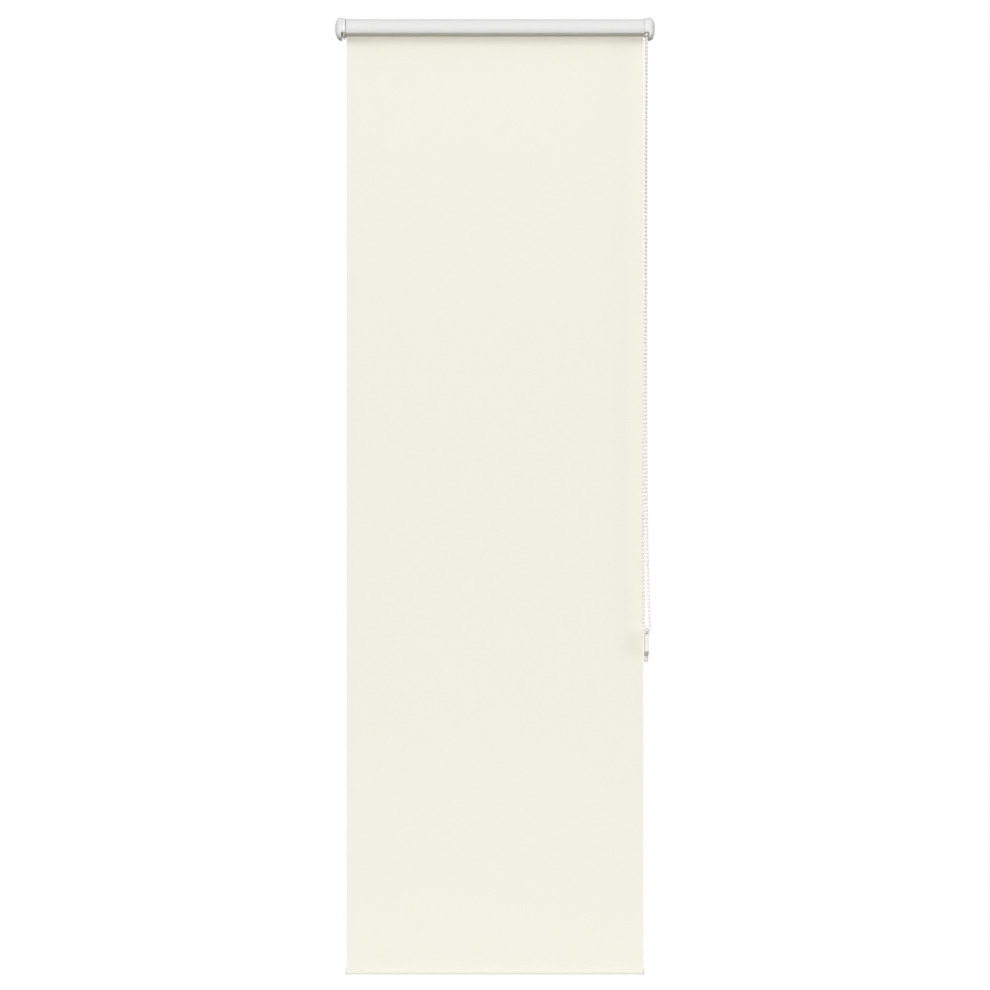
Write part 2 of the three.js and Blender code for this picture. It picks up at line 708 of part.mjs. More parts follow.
const crown = Math.floor(overWheel.length / 2);
const nearlyClosed = 0.2; // the two ends of the loop face each other across this gap
const crownStart = overWheel[crown].clone().setY(overWheel[crown].y - nearlyClosed);
const crownEnd = overWheel[crown].clone().setY(overWheel[crown].y + nearlyClosed);
const chainRoute = [
  crownStart, ...overWheel.slice(crown + 1), ...hanging, ...overWheel.slice(0, crown), crownEnd];
place('bead_chain', swept(chainRoute, beadDiameter / 2, 8), 'bead');

// Tensioner: a base on the wall and a forward arm whose nose holds the foot of the chain down.
const chainFoot = hanging[strandSteps + loopSteps / 2];
const tensioner = () => {
  const [left, right] = [chainFoot.x - tensionerWidth / 2, chainFoot.x + tensionerWidth / 2];
  const top = chainFoot.z + beadSeat + tensionerLip;
  const foot = top - tensionerHeight;
  const [nose, edge] = [-tensionerReach, tensionerChamfer];
  const body = bar([
    [0, foot], [0, top], [nose + edge, top], [nose, top - edge], [nose, top - tensionerFace],
    [-tensionerBase, foot + tensionerHeel], [-tensionerBase, foot + edge], [edge - tensionerBase, foot],
  ], left, right);
  const channel = swept(hanging.slice(strandSteps - 1, strandSteps + loopSteps + 2),
    beadDiameter / 2 + channelGap, 12);
  const mouthHalf = beadSeat + mouthGap;
  const mouth = box(left - past, right + past, nose - past, chainFoot.y,
    chainFoot.z - mouthHalf, chainFoot.z + mouthHalf);
  const holeZ = foot + tensionerHoleRise;
  const hole = new THREE.CylinderGeometry(tensionerHoleRadius, tensionerHoleRadius, 3 * tensionerBase, 16)
    .translate(chainFoot.x, 0, holeZ);
  const sinkRadius = tensionerWidth / 2 - tensionerSinkEdge;
  const sink = new THREE.CylinderGeometry(tensionerHoleRadius, sinkRadius, tensionerSinkDepth, 16)
    .translate(chainFoot.x, tensionerSinkDepth / 2 - tensionerBase - snapGap, holeZ);
  return cut(body, channel, mouth, hole, sink);
};
place('tensioner', tensioner(), 'nylon');

// Bottom bar: an oval aluminium rail in a fabric hem, closed by a cap at each end.
const barY = panelY + fabricThickness / 2;
const barZ = footZ + railCapRim + hemHeight / 2;
const oval = (height, thickness, steps = 8) => {
  const radius = thickness / 2;
  const straight = height / 2 - radius;
  return [
    ...arc(barY, barZ + straight, radius, 0, 180, steps),
    ...arc(barY, barZ - straight, radius, 180, 360, steps),
  ];
};
const railX = fabricX - railInset;
const capX = fabricX + snapGap;
const railInner = oval(railHeight - 2 * railWall, railThickness - 2 * railWall);
place('bottom_rail', bar(oval(railHeight, railThickness), -railX, railX, [railInner]), 'aluminium');
const hemInner = oval(railHeight + hemGap, railThickness + hemGap);
const hemOuter = oval(hemHeight, railThickness + hemGap + 2 * hemThickness);
place('hem_sleeve', bar(hemOuter, -fabricX, fabricX, [hemInner]), 'creamFabric');
const capOval = (inset) => (
  oval(hemHeight + 2 * (railCapRim - inset), railThickness + 2 * (railCapSide - inset)));
const railCap = () => {
  const taken = 2 * railWall + fitGap;
  return join(
    domed(capOval, capX, capX + railCapThickness, railCapEdge, railCapEdge, 3),
    bar(oval(railHeight - taken, railThickness - taken), railX - railPlugReach, capX + overlap),
  );
};
for (const side of ['left', 'right']) {
  place(`${side}_rail_cap`, forSide(side, railCap()), 'whitePlastic');
}

export default blind;
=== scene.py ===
# Roller blind in a cassette head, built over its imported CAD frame
import json
import math

import bmesh
import bpy
import numpy as np
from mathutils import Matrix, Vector


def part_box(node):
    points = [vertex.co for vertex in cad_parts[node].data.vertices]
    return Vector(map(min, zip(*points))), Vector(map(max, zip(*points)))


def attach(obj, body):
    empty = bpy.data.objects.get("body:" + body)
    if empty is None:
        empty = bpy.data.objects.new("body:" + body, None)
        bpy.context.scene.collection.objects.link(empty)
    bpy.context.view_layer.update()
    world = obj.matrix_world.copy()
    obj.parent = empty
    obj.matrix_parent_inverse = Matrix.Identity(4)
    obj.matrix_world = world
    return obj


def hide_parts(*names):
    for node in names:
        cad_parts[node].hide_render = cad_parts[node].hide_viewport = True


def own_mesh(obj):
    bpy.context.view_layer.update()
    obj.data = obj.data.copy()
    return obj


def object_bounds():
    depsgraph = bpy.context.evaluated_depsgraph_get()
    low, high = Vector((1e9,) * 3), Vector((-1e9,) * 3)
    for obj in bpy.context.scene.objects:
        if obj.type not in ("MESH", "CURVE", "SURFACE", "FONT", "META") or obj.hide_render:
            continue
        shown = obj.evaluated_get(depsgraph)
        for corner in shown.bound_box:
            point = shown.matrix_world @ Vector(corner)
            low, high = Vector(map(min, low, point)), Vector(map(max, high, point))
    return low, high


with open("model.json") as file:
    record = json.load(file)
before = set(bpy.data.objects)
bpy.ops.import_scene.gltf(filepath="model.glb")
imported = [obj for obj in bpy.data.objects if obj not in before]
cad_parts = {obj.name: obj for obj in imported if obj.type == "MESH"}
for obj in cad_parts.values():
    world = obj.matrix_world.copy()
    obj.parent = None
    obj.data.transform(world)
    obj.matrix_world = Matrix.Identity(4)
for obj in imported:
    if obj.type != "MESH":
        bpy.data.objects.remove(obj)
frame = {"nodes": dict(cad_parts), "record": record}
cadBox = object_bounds()
scene = bpy.context.scene

panelLow, panelHigh = (np.array(c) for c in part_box("fabric_panel"))
tubeLow, tubeHigh = (np.array(c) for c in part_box("roller_tube"))
axisY = (tubeLow[1] + tubeHigh[1]) / 2  # the roller's axis; its height is z = 0
footZ = cadBox[0][2]


# level view from the front, on the blind's middle line
camera = {
    "distance": 6.0,
    "height": -0.729,
    "frameHeight": 1.5525,  # what the frame spans at the fabric
    "sensor": 36.0,
}


def makeCamera():
    data = bpy.data.cameras.new("camera")
    data.sensor_width = camera["sensor"]
    halfAngle = math.atan(camera["frameHeight"] / 2 / camera["distance"])
    data.lens = camera["sensor"] / 2 / math.tan(halfAngle)
    data.clip_end = 40
    holder = bpy.data.objects.new("camera", data)
    holder.location = (0, panelLow[1] - camera["distance"], camera["height"])
    holder.rotation_euler = (math.radians(90), 0, 0)
    scene.collection.objects.link(holder)
    scene.camera = holder


makeCamera()
print("camera placed")


def addObject(name, mesh, material=None):
    piece = bpy.data.objects.new(name, mesh)
    scene.collection.objects.link(piece)
    if material:
        mesh.materials.append(material)
    return piece


def meshFrom(name, points, faces, smooth=True):
    # points is an array of corners, faces a list of corner lists
    mesh = bpy.data.meshes.new(name)
    mesh.from_pydata(np.asarray(points).reshape(-1, 3).tolist(), [], faces)
    mesh.validate()
    mesh.polygons.foreach_set("use_smooth", np.full(len(mesh.polygons), smooth))
    return mesh


def gridFaces(rows, columns, wrapRows=False, wrapColumns=False, start=0):
    # quads between neighbouring corners of a rows x columns grid, as index rows a, b, c, d
    i = np.arange(rows if wrapRows else rows - 1)[:, None]
    j = np.arange(columns if wrapColumns else columns - 1)[None, :]
    iNext, jNext = (i + 1) % rows, (j + 1) % columns
    corners = [i * columns + j, iNext * columns + j, iNext * columns + jNext, i * columns + jNext]
    return np.stack([np.broadcast_to(c, (i.size, j.size)) for c in corners], -1).reshape(-1, 4) + start


def carried(rings, closedEnds=True):
    # rings[m, n, 3]: m copies of an n-corner outline, joined in order and closed by a flat face at each end
    count, around = rings.shape[:2]
    faces = gridFaces(count, around, wrapColumns=True).tolist()
    if closedEnds:
        faces.append(list(range(around)))
        faces.append(list(range((count - 1) * around, count * around))[::-1])
    return rings.reshape(-1, 3), faces


def outward(mesh, weld=1e-6):
    # turns every face of a closed mesh to point out, after merging corners closer than the weld
    work = bmesh.new()
    work.from_mesh(mesh)
    if weld:
        bmesh.ops.remove_doubles(work, verts=work.verts, dist=weld)
    bmesh.ops.recalc_face_normals(work, faces=work.faces)
    work.to_mesh(mesh)
    work.free()
    return mesh


def arcPoints(centre, radius, start, end, steps):
    # centre + radius (cos a, sin a), with a from start to end degrees; 0 points at the wall and 90 up
    a = np.radians(np.linspace(start, end, steps + 1))
    return np.array(centre) + radius * np.stack([np.cos(a), np.sin(a)], 1)


def onX(outline, x):
    # puts a (y, z) outline at one or several x values
    x = np.atleast_1d(x)
    outline = np.asarray(outline)
    flat = np.broadcast_to(outline, (len(x), *outline.shape)) if outline.ndim == 2 else outline
    across = np.broadcast_to(x[:, None, None], (*flat.shape[:2], 1))
    return np.concatenate([across, flat], 2)


def sharpen(piece, angle=35):
    # smooth shading that stops at edges sharper than the angle
    piece.data.set_sharp_from_angle(angle=math.radians(angle))


def settle(piece, body, replaces=(), material=None):
    if material:
        piece.data.materials.clear()
        piece.data.materials.append(material)
    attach(piece, body)
    if replaces:
        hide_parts(*replaces)
    return piece


# bead chain, on the same route as the frame's
chain = {
    "bead": 0.0045,
    "cord": 0.0011,
    "pitch": 0.006,
    "pockets": 12,
    "wheelX": 0.23715,
    # [x from the wheel, share of the wheel's radius behind its axis, z]
    "front": [(0, -1, 0), (-0.0001, -1, -0.016), (-0.0013, -0.98, -0.07), (-0.0025, -0.94, -0.2),
              (-0.0031, -0.87, -0.4), (-0.0039, -0.77, -0.6), (-0.0046, -0.67, -0.76),
              (-0.0045, -0.6, -0.9), (-0.0044, -0.58, -0.9358)],
    "rear": [(0, 1, 0), (0, 1, -0.016), (0.0002, 0.97, -0.07), (0, 0.92, -0.2), (-0.0003, 0.85, -0.4),
             (-0.0004, 0.77, -0.6), (0.0007, 0.69, -0.76), (0.0035, 0.6, -0.88), (0.0052, 0.58, -0.9358)],
    "strandSteps": 18,
    "loopSteps": 14,
    "seam": 0.0001,  # how far the two ends of the cord stand apart from the crown, to each side
}
chain["radius"] = chain["pockets"] * chain["pitch"] / (2 * math.pi)


def throughPoints(points, steps):
    # centripetal Catmull-Rom curve through the points, read off at even steps of its length
    p = np.array(points, float)
    p = np.vstack([2 * p[0] - p[1], p, 2 * p[-1] - p[-2]])
    knots = np.concatenate([[0], np.cumsum(np.linalg.norm(np.diff(p, axis=0), axis=1) ** 0.5)])
    fine = []
    for k in range(1, len(p) - 2):
        t = np.linspace(knots[k], knots[k + 1], 40, endpoint=k == len(p) - 3)[:, None]
        k0, k1, k2, k3 = knots[k - 1:k + 3]
        a1 = (k1 - t) / (k1 - k0) * p[k - 1] + (t - k0) / (k1 - k0) * p[k]
        a2 = (k2 - t) / (k2 - k1) * p[k] + (t - k1) / (k2 - k1) * p[k + 1]
        a3 = (k3 - t) / (k3 - k2) * p[k + 1] + (t - k2) / (k3 - k2) * p[k + 2]
        b1 = (k2 - t) / (k2 - k0) * a1 + (t - k0) / (k2 - k0) * a2
        b2 = (k3 - t) / (k3 - k1) * a2 + (t - k1) / (k3 - k1) * a3
        fine.append((k2 - t) / (k2 - k1) * b1 + (t - k1) / (k2 - k1) * b2)
    return alongLine(np.vstack(fine), np.linspace(0, 1, steps + 1))


def alongLine(line, shares):
    # points of a polyline at given shares of its length
    reach = np.concatenate([[0], np.cumsum(np.linalg.norm(np.diff(line, axis=0), axis=1))])
    at = np.asarray(shares) * reach[-1]
    return np.stack([np.interp(at, reach, line[:, axis]) for axis in range(3)], 1)


def chainLine():
    # strand points in the row frame, joined by a half ellipse round the wheel and one at the foot
    def strand(points):
        place = [(chain["wheelX"] + x, axisY + share * chain["radius"], z) for x, share, z in points]
        return throughPoints(place, chain["strandSteps"] * 4)

    def halfLoop(start, end, rise, steps):
        a = math.pi * np.arange(1, steps)[:, None] / steps
        middle = (start + end) / 2
        return middle + (start - middle) * np.cos(a) + np.array([0, 0, rise]) * np.sin(a)

    front, rear = strand(chain["front"]), strand(chain["rear"])[::-1]
    dip = np.linalg.norm(front[-1] - rear[0]) / 2
    foot = halfLoop(front[-1], rear[0], -dip, chain["loopSteps"] * 3)
    top = halfLoop(rear[-1], front[0], chain["radius"], chain["loopSteps"] * 3)
    middle = len(top) // 2
    line = np.vstack([top[middle:], front, foot, rear, top[:middle + 1]])
    line[0, 1] -= chain["seam"]
    line[-1, 1] += chain["seam"]
    return line


def tubeAlong(line, radius, sides):
    # a round section turned square to the line at each point, by two fixed side directions
    heading = np.gradient(line, axis=0)
    heading /= np.linalg.norm(heading, axis=1)[:, None]
    sideways = np.cross(heading, np.array([1.0, 0, 0]))
    sideways /= np.linalg.norm(sideways, axis=1)[:, None]
    other = np.cross(heading, sideways)
    a = np.linspace(0, 2 * math.pi, sides, endpoint=False)
    ring = np.cos(a)[None, :, None] * sideways[:, None] + np.sin(a)[None, :, None] * other[:, None]
    return carried(line[:, None] + radius * ring)


def ballGrid(radius, around, bands):
    # a ball: radius (sin v cos u, sin v sin u, cos v), closed by a fan at each pole
    v = np.linspace(0, math.pi, bands + 1)[1:-1, None]
    u = np.linspace(0, 2 * math.pi, around, endpoint=False)[None]
    body = np.stack([np.sin(v) * np.cos(u), np.sin(v) * np.sin(u), np.cos(v) + 0 * u], 2).reshape(-1, 3)
    points = radius * np.vstack([body, [[0, 0, 1], [0, 0, -1]]])
    quads = gridFaces(bands - 1, around, wrapColumns=True).tolist()
    last = (bands - 2) * around
    top = [[around * (bands - 1), j, (j + 1) % around] for j in range(around)]
    end = [[around * (bands - 1) + 1, last + (j + 1) % around, last + j] for j in range(around)]
    return points, quads + top + end


def repeated(points, faces, centres):
    # the same small shape set down at every centre
    count = len(points)
    placed = (centres[:, None] + points[None]).reshape(-1, 3)
    return placed, [[c + i * count for c in face] for i in range(len(centres)) for face in faces]


def makeChain():
    line = chainLine()
    length = np.linalg.norm(np.diff(line, axis=0), axis=1).sum()
    beads = round(length / chain["pitch"])
    centres = alongLine(line, (np.arange(beads) + 0.5) / beads)
    beadPoints, beadFaces = repeated(*ballGrid(chain["bead"] / 2, 10, 6), centres)
    cordPoints, cordFaces = tubeAlong(alongLine(line, np.linspace(0, 1, 500)), chain["cord"] / 2, 6)
    faces = beadFaces + [[c + len(beadPoints) for c in face] for face in cordFaces]
    mesh = outward(meshFrom("beadChain", np.vstack([beadPoints, cordPoints]), faces))
    piece = addObject("beadChain", mesh)
    print(f"chain: {beads} beads on {length:.3f} m")
    return settle(piece, "head", ["bead_chain"])


beadChain = makeChain()


def newGroup(name, inputs, outputs):
    group = bpy.data.node_groups.new(name, "ShaderNodeTree")
    for label, kind, value in inputs:
        socket = group.interface.new_socket(label, in_out="INPUT", socket_type=f"NodeSocket{kind}")
        if value is not None:
            socket.default_value = value
    for label, kind in outputs:
        group.interface.new_socket(label, in_out="OUTPUT", socket_type=f"NodeSocket{kind}")
    source = group.nodes.new("NodeGroupInput")
    sink = group.nodes.new("NodeGroupOutput")
    return group, source.outputs, sink.inputs


def addNode(tree, kind, settings=None, **inputs):
    # inputs name a socket, with _ for a space; a value is set and an output is linked
    node = tree.nodes.new(f"ShaderNode{kind}")
    for key, value in (settings or {}).items():
        setattr(node, key, value)
    for key, value in inputs.items():
        slotName = key.replace("_", " ")
        socket = node.inputs[int(key[1:])] if key[0] == "n" and key[1:].isdigit() else node.inputs[slotName]
        if isinstance(value, bpy.types.NodeSocket):
            tree.links.new(value, socket)
        else:
            socket.default_value = value
    return node


def math2(tree, operation, first, second=0.0, third=None):
    extra = {} if third is None else {"n2": third}
    return addNode(tree, "Math", {"operation": operation}, n0=first, n1=second, **extra).outputs[0]


def makeWeave():
    # plain weave: crowned threads both ways, the upper one chosen by the product of the two sine waves
    tree, given, out = newGroup(
        "plainWeave",
        [("Vector", "Vector", None), ("Threads", "Float", 1600.0), ("Slub", "Float", 0.5)],
        [("Height", "Float"), ("Tone", "Float")])
    place = addNode(tree, "SeparateXYZ", Vector=given["Vector"])
    across = math2(tree, "MULTIPLY", place.outputs["X"], given["Threads"])
    along = math2(tree, "MULTIPLY", place.outputs["Y"], given["Threads"])
    waveX = math2(tree, "SINE", math2(tree, "MULTIPLY", across, math.pi))
    waveY = math2(tree, "SINE", math2(tree, "MULTIPLY", along, math.pi))
    over = math2(tree, "MULTIPLY_ADD", math2(tree, "MULTIPLY", waveX, waveY), 0.5, 0.5)
    warp = math2(tree, "ABSOLUTE", waveX)
    weft = math2(tree, "ABSOLUTE", waveY)
    crown = addNode(tree, "Mix", {"data_type": "FLOAT"}, Factor=over, n2=warp, n3=weft).outputs[0]
    # slubs: noise drawn out along each thread direction
    slubs = []
    for stretch in ((60, 2200, 1), (2200, 60, 1)):
        turned = addNode(tree, "VectorMath", {"operation": "MULTIPLY"}, n0=given["Vector"], n1=stretch)
        slubs.append(addNode(tree, "TexNoise", Vector=turned.outputs[0], Scale=1.0, Detail=1.0).outputs[0])
    slub = math2(tree, "MULTIPLY", math2(tree, "ADD", *slubs), 0.5)
    lifted = math2(tree, "MULTIPLY_ADD", slub, given["Slub"], crown)
    tree.links.new(lifted, out["Height"])
    tree.links.new(slub, out["Tone"])
    return tree


def makeGrain():
    # moulding or paint grain: fine noise for height, and a broad soft mottle
    tree, given, out = newGroup(
        "surfaceGrain",
        [("Vector", "Vector", None), ("Grain", "Float", 1500.0), ("Mottle", "Float", 25.0)],
        [("Height", "Float"), ("Mottle", "Float")])
    fine = addNode(tree, "TexNoise", Vector=given["Vector"], Scale=given["Grain"], Detail=2.0)
    broad = addNode(tree, "TexNoise", Vector=given["Vector"], Scale=given["Mottle"], Detail=3.0)
    tree.links.new(fine.outputs[0], out["Height"])
    tree.links.new(broad.outputs[0], out["Mottle"])
    return tree


def makeWear():
    # a mask that is strongest on outer edges, broken up by noise
    tree, given, out = newGroup(
        "edgeWear",
        [("Vector", "Vector", None), ("Amount", "Float", 0.3)],
        [("Mask", "Float")])
    geometry = addNode(tree, "NewGeometry")
    edge = addNode(tree, "MapRange", Value=geometry.outputs["Pointiness"], From_Min=0.52, From_Max=0.62)
    broken = addNode(tree, "TexNoise", Vector=given["Vector"], Scale=420.0, Detail=4.0)
    mask = math2(tree, "MULTIPLY", edge.outputs[0], broken.outputs[0])
    tree.links.new(math2(tree, "MULTIPLY", mask, given["Amount"]), out["Mask"])
    return tree


plainWeave = makeWeave()
surfaceGrain = makeGrain()
edgeWear = makeWear()


def newMaterial(name, roughness, metallic=0.0, **fixed):
    material = bpy.data.materials.new(name)
    material.use_nodes = True
    shader = material.node_tree.nodes["Principled BSDF"]
    shader.inputs["Roughness"].default_value = roughness
    shader.inputs["Metallic"].default_value = metallic
    for label, value in fixed.items():
        shader.inputs[label.replace("_", " ")].default_value = value
    return material, material.node_tree, shader


def placeGroup(tree, group, **inputs):
    node = tree.nodes.new("ShaderNodeGroup")
    node.node_tree = group
    for key, value in inputs.items():
        if isinstance(value, bpy.types.NodeSocket):
            tree.links.new(value, node.inputs[key])
        else:
            node.inputs[key].default_value = value
    return node.outputs


def blendColour(tree, factor, first, second):
    node = addNode(tree, "Mix", {"data_type": "RGBA"}, Factor=factor)
    for socket, value in ((node.inputs[6], first), (node.inputs[7], second)):
        if isinstance(value, bpy.types.NodeSocket):
            tree.links.new(value, socket)
        else:
            socket.default_value = (*value, 1)
    return node.outputs[2]


def addBump(tree, shader, height, distance, strength=1.0):
    bump = addNode(tree, "Bump", Height=height, Distance=distance, Strength=strength)
    tree.links.new(bump.outputs[0], shader.inputs["Normal"])


def fabricMaterial():
    material, tree, shader = newMaterial("creamFabric", 0.85, Sheen_Weight=0.15, Sheen_Roughness=0.5,
                                         Specular_IOR_Level=0.25)
    cloth = addNode(tree, "UVMap", {"uv_map": "cloth"}).outputs[0]
    weave = placeGroup(tree, plainWeave, Vector=cloth, Threads=1700.0, Slub=0.35)
    grain = placeGroup(tree, surfaceGrain, Vector=cloth, Grain=900.0, Mottle=6.0)
    thread = blendColour(tree, weave["Tone"], fabric["shade"], fabric["light"])
    soft = math2(tree, "MULTIPLY_ADD", grain["Mottle"], 0.1, 0.08)
    tree.links.new(blendColour(tree, soft, thread, fabric["light"]), shader.inputs["Base Color"])
    addBump(tree, shader, weave["Height"], 0.00004, 0.6)
    return material


def mouldedMaterial(name, light, shade, roughness, grainSize, grainDepth, wear=0.3, **fixed):
    # moulded plastic or paint: a soft mottle, a grained surface and lighter rubbed edges
    material, tree, shader = newMaterial(name, roughness, **fixed)
    place = addNode(tree, "TexCoord").outputs["Object"]
    grain = placeGroup(tree, surfaceGrain, Vector=place, Grain=grainSize, Mottle=40.0)
    rubbed = placeGroup(tree, edgeWear, Vector=place, Amount=wear)
    base = blendColour(tree, grain["Mottle"], shade, light)
    tree.links.new(blendColour(tree, rubbed["Mask"], base, tuple(min(1, c * 1.06) for c in light)),
                   shader.inputs["Base Color"])
    patchy = math2(tree, "MULTIPLY_ADD", grain["Mottle"], 0.12, roughness - 0.06)
    tree.links.new(math2(tree, "ADD", patchy, math2(tree, "MULTIPLY", rubbed["Mask"], 0.3)),
                   shader.inputs["Roughness"])
    addBump(tree, shader, grain["Height"], grainDepth)
    return material


def metalMaterial(name, light, shade, roughness, stretch, wear=0.4):
    # metal drawn along X: long fine scratches, mottled tone and brighter rubbed edges
    material, tree, shader = newMaterial(name, roughness, 1.0)
    place = addNode(tree, "TexCoord").outputs["Object"]
    drawn = addNode(tree, "Mapping", Vector=place, Scale=stretch).outputs[0]
    scratch = addNode(tree, "TexNoise", Vector=drawn, Scale=1.0, Detail=4.0).outputs[0]
    grain = placeGroup(tree, surfaceGrain, Vector=place, Grain=700.0, Mottle=60.0)
    rubbed = placeGroup(tree, edgeWear, Vector=place, Amount=wear)
    base = blendColour(tree, grain["Mottle"], shade, light)
    tree.links.new(blendColour(tree, rubbed["Mask"], base, light), shader.inputs["Base Color"])
    tree.links.new(math2(tree, "MULTIPLY_ADD", scratch, 0.25, roughness - 0.1), shader.inputs["Roughness"])
    addBump(tree, shader, scratch, 0.00002)
    return material


fabric = {
    "light": (0.87, 0.856, 0.765),
    "shade": (0.81, 0.795, 0.70),
}

finishes = {
    "fabric": fabricMaterial(),
    "white_plastic": mouldedMaterial("whitePlastic", (0.77, 0.77, 0.765), (0.745, 0.745, 0.74), 0.45, 2600.0,
                                     0.00001, Coat_Weight=0.05),
    "white_paint": mouldedMaterial("whitePaint", (0.735, 0.735, 0.73), (0.715, 0.715, 0.71), 0.52, 1400.0,
                                   0.000015, Specular_IOR_Level=0.35),
    "nylon": mouldedMaterial("naturalNylon", (0.82, 0.80, 0.75), (0.76, 0.74, 0.69), 0.42, 1800.0, 0.00001,
                             Subsurface_Weight=0.08, Subsurface_Scale=0.002),
    "bead": mouldedMaterial("beadPlastic", (0.9, 0.89, 0.87), (0.86, 0.85, 0.83), 0.3, 3000.0, 0.000004,
                            Coat_Weight=0.2, Subsurface_Weight=0.05, Subsurface_Scale=0.001),
    "grey_plastic": mouldedMaterial("greyPlastic", (0.3, 0.31, 0.32), (0.25, 0.26, 0.27), 0.5, 2000.0,
                                    0.00001),
    "aluminium": metalMaterial("drawnAluminium", (0.78, 0.79, 0.8), (0.7, 0.71, 0.72), 0.35, (4, 2400, 2400)),
    "steel": metalMaterial("zincSteel", (0.66, 0.67, 0.69), (0.56, 0.57, 0.6), 0.34, (300, 300, 300), 0.6),
}
beadChain.data.materials.append(finishes["bead"])
print("materials made")


# fabric: the panel, the turns on the tube and the hem round the bar
cloth = {
    "thickness": 0.0003,
    "columns": 61,
    "rows": 180,
    "ripple": 0.0002,
    "edgeCurl": 0.0003,
    "flapHeight": 0.006,
    "flapGap": 1.1,  # thicknesses between the panel's middle and the flap's
    "woundGap": 1.45,  # thicknesses between the panel's middle and the wound turns
    "tubeGap": 0.00003,
    "leadTurn": 335,  # degrees of the outer turn
    "lift": 1.44,
    "cut": 1.57,  # drop, the turns on the tube and the hem
}
cloth["y"] = (panelLow[1] + panelHigh[1]) / 2
cloth["halfWidth"] = panelHigh[0]
cloth["bottom"] = panelLow[2]


def giveCloth(mesh, uv):
    # the cloth map holds metres along the weave's two directions
    layer = mesh.uv_layers.new(name="cloth")
    corner = np.empty(len(mesh.loops), np.int32)
    mesh.loops.foreach_get("vertex_index", corner)
    layer.data.foreach_set("uv", np.asarray(uv, np.float32)[corner].ravel())


def ribbon(line, thickness):
    # an open (y, z) line thickened by half its thickness to each side, square to its direction
    heading = np.gradient(line, axis=0)
    heading /= np.linalg.norm(heading, axis=1)[:, None]
    side = np.stack([-heading[:, 1], heading[:, 0]], 1) * thickness / 2
    reach = np.concatenate([[0], np.cumsum(np.linalg.norm(np.diff(line, axis=0), axis=1))])
    return np.vstack([line + side, (line - side)[::-1]]), np.concatenate([reach, reach[::-1]])


def clothBand(name, line, halfWidth, material, stations=24):
    # a ribbon carried from edge to edge of the fabric
    outline, reach = ribbon(line, cloth["thickness"])
    x = np.linspace(-halfWidth, halfWidth, stations)
    points, faces = carried(onX(outline, x))
    mesh = meshFrom(name, points, faces)
    giveCloth(mesh, np.stack([np.repeat(x, len(outline)), np.tile(reach, stations)], 1))
    piece = addObject(name, outward(mesh, None), material)
    sharpen(piece, 50)
    return piece


def makePanel():
    # y = middle + ripple sin(x) sin(z) + edge curl, all fading to nothing at the roll and at the hem
    x = np.linspace(-1, 1, cloth["columns"])
    drop = np.linspace(0, 1, cloth["rows"])[:, None]
    fade = np.sin(math.pi * drop) ** 0.5
    ripple = cloth["ripple"] * np.sin(5.3 * x + 1.1 + 2.2 * drop) * np.sin(7.1 * drop + 0.8 * x)
    curl = -cloth["edgeCurl"] * np.abs(x) ** 24 * (0.75 + 0.25 * np.sin(9 * drop + 2 * np.sign(x)))
    y = cloth["y"] + fade * (ripple + curl)
    across = np.broadcast_to(x * cloth["halfWidth"], y.shape)
    down = np.broadcast_to(drop * cloth["bottom"], y.shape)
    half = cloth["thickness"] / 2
    front = np.stack([across, y - half, down], 2)
    back = np.stack([across, y + half, down], 2)[:, ::-1]
    rings = np.concatenate([front, back], 1)
    points, faces = carried(rings)
    mesh = meshFrom("fabricPanel", points, faces)
    giveCloth(mesh, points[:, [0, 2]])
    piece = addObject("fabricPanel", outward(mesh, None), finishes["fabric"])
    sharpen(piece, 50)
    return piece


def makeLead():
    # the outer turn: a spiral from where the panel leaves the roll, r = radius - thickness a / 2 pi
    radius = cloth["y"] - axisY
    a = np.radians(np.linspace(0, cloth["leadTurn"], 150))
    r = radius - cloth["thickness"] * a / (2 * math.pi)
    line = np.stack([axisY + r * np.cos(a), r * np.sin(a)], 1)
    return clothBand("fabricOuterTurn", line, cloth["halfWidth"], finishes["fabric"])


def makeWound():
    # the turns that stay on the tube, as a closed sleeve
    inner = tubeHigh[1] - axisY + cloth["tubeGap"]
    outer = cloth["y"] - axisY - cloth["woundGap"] * cloth["thickness"]
    rim = arcPoints((axisY, 0), outer, 90, 450, 120)[:-1]
    bore = arcPoints((axisY, 0), inner, 90, 450, 120)[:-1]
    x = np.linspace(-1, 1, 24) * cloth["halfWidth"]
    rings = np.concatenate([onX(rim, x), onX(bore, x[::-1])])
    count, around = rings.shape[:2]
    mesh = meshFrom("fabricInnerTurns", rings, gridFaces(count, around, True, True).tolist())
    turn = np.linspace(0, 2 * math.pi * outer, around, endpoint=False)
    giveCloth(mesh, np.stack([rings.reshape(-1, 3)[:, 0], np.tile(turn, count)], 1))
    piece = addObject("fabricInnerTurns", outward(mesh), finishes["fabric"])
    sharpen(piece, 50)
    return piece


hem = {"bulge": 0.00242, "square": 0.8, "tall": 0.9, "flapStart": 0.0005}


